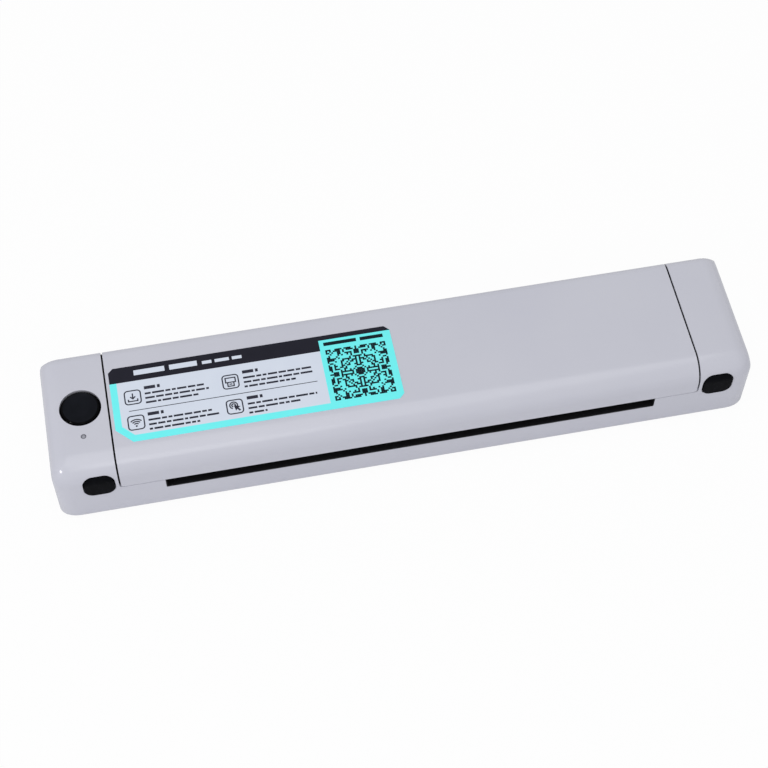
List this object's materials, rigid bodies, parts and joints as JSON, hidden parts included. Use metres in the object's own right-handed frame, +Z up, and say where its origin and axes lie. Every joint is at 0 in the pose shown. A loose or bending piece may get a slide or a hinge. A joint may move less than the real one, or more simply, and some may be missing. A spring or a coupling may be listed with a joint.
{
  "type": "portable thermal printer",
  "caption": "Slim portable thermal printer for A4 sheets, with a rear-hinged cover that carries the feed roller, a thermal head in the base, a power button and two cover release buttons.",
  "frame": {"origin": "centre of the casing's outline, on the surface that the feet stand on", "axes": "+X along the casing, with the power button at -X; -Y is the front where the paper comes out; +Z up"},
  "size_m": [0.31, 0.0625, 0.0377],
  "materials": {
    "shell_plastic": "satin moulded, pale lilac grey",
    "black_plastic": "fine matt moulded, black",
    "button_plastic": "satin moulded, black",
    "foot_rubber": "matt black rubber",
    "roller_rubber": "ground silicone rubber, dark grey",
    "steel": "bright steel",
    "zinc_steel": "zinc-plated sheet steel",
    "spring_steel": "drawn spring wire",
    "aluminium": "extruded, plain",
    "ceramic": "glazed ceramic strip",
    "gear_plastic": "natural acetal",
    "bush_plastic": "sintered bearing plastic",
    "brass": "turned brass",
    "motor_can": "drawn steel can",
    "board_green": "solder-masked board",
    "chip_black": "moulded component bodies",
    "flex_film": "polyimide film",
    "battery_wrap": "shrink-wrap film",
    "wire_red": "wire insulation",
    "light_plastic": "frosted clear plastic",
    "label_film": "printed film"
  },
  "bodies": {
    "base": {"housing": "shell_plastic", "bottom_cover": "shell_plastic", "rubber_feet": "foot_rubber", "case_screws": "steel", "hinge_pins": "steel", "side_frame_left": "zinc_steel", "side_frame_right": "zinc_steel", "front_guide": "black_plastic", "rear_guide": "black_plastic", "head_rod": "steel", "head_springs": "spring_steel", "head_flex": "flex_film", "stepper_motor": "motor_can", "motor_screws": "steel", "gear_studs": "steel", "control_board": "board_green", "board_parts": "chip_black", "board_screws": "steel", "usb_socket": "steel", "battery_pack": "battery_wrap", "battery_lead": "wire_red", "button_board": "board_green", "power_switch": "chip_black", "light_pipe": "light_plastic", "release_spring_left": "spring_steel", "release_spring_right": "spring_steel", "cover_switch": "chip_black", "paper_sensor": "chip_black", "seam_strips": "black_plastic"},
    "cover": {"cover_shell": "shell_plastic", "cover_liner": "black_plastic", "liner_screws": "steel", "guide_label": "label_film", "roller_bushes": "bush_plastic"},
    "roller": {"feed_roller": "roller_rubber", "roller_shaft": "steel", "roller_gear": "gear_plastic"},
    "head": {"head_sink": "aluminium", "head_ceramic": "ceramic"},
    "idler": {"idler_gear": "gear_plastic"},
    "double_gear": {"double_gear": "gear_plastic"},
    "pinion": {"motor_pinion": "brass"},
    "power_button": {"power_button": "button_plastic"},
    "release_left": {"release_button_left": "button_plastic"},
    "release_right": {"release_button_right": "button_plastic"}
  },
  "joints": [
    {"name": "cover_hinge", "type": "hinge", "parent": "base", "child": "cover", "pos_m": [0.00153, 0.025, 0.028], "axis": [-1, 0, 0], "range_deg": [0, 98]},
    {"name": "roller_spin", "type": "hinge", "parent": "cover", "child": "roller", "pos_m": [0.00153, -0.014, 0.0245], "axis": [1, 0, 0], "continuous": true},
    {"name": "idler_spin", "type": "hinge", "parent": "base", "child": "idler", "pos_m": [0.1195, -0.014, 0.0113], "axis": [1, 0, 0], "continuous": true},
    {"name": "double_gear_spin", "type": "hinge", "parent": "base", "child": "double_gear", "pos_m": [0.12, -0.00441, 0.01479], "axis": [1, 0, 0], "continuous": true},
    {"name": "pinion_spin", "type": "hinge", "parent": "base", "child": "pinion", "pos_m": [0.123, 0.00814, 0.01589], "axis": [1, 0, 0], "continuous": true},
    {"name": "head_rock", "type": "hinge", "parent": "base", "child": "head", "pos_m": [0.00153, -0.0035, 0.0103], "axis": [1, 0, 0], "range_deg": [0, 2.5], "stiffness_Nm_per_rad": 3, "springref_deg": -2.86, "deforming": ["head_springs"]},
    {"name": "power_press", "type": "slide", "parent": "base", "child": "power_button", "axis": [0, 0, -1], "range_m": [0, 0.0005], "stiffness_N_per_m": 800, "springref_m": -0.0003},
    {"name": "release_left_press", "type": "slide", "parent": "base", "child": "release_left", "axis": [0, 1, 0], "range_m": [0, 0.002], "stiffness_N_per_m": 500, "springref_m": -0.001, "deforming": ["release_spring_left"]},
    {"name": "release_right_press", "type": "slide", "parent": "base", "child": "release_right", "axis": [0, 1, 0], "range_m": [0, 0.002], "stiffness_N_per_m": 500, "springref_m": -0.001, "deforming": ["release_spring_right"]}
  ],
  "couplings": [
    {"joint": "idler_spin", "follows": "roller_spin", "ratio": -1.2},
    {"joint": "double_gear_spin", "follows": "roller_spin", "ratio": 1.7143},
    {"joint": "pinion_spin", "follows": "roller_spin", "ratio": -4.2857}
  ]
}
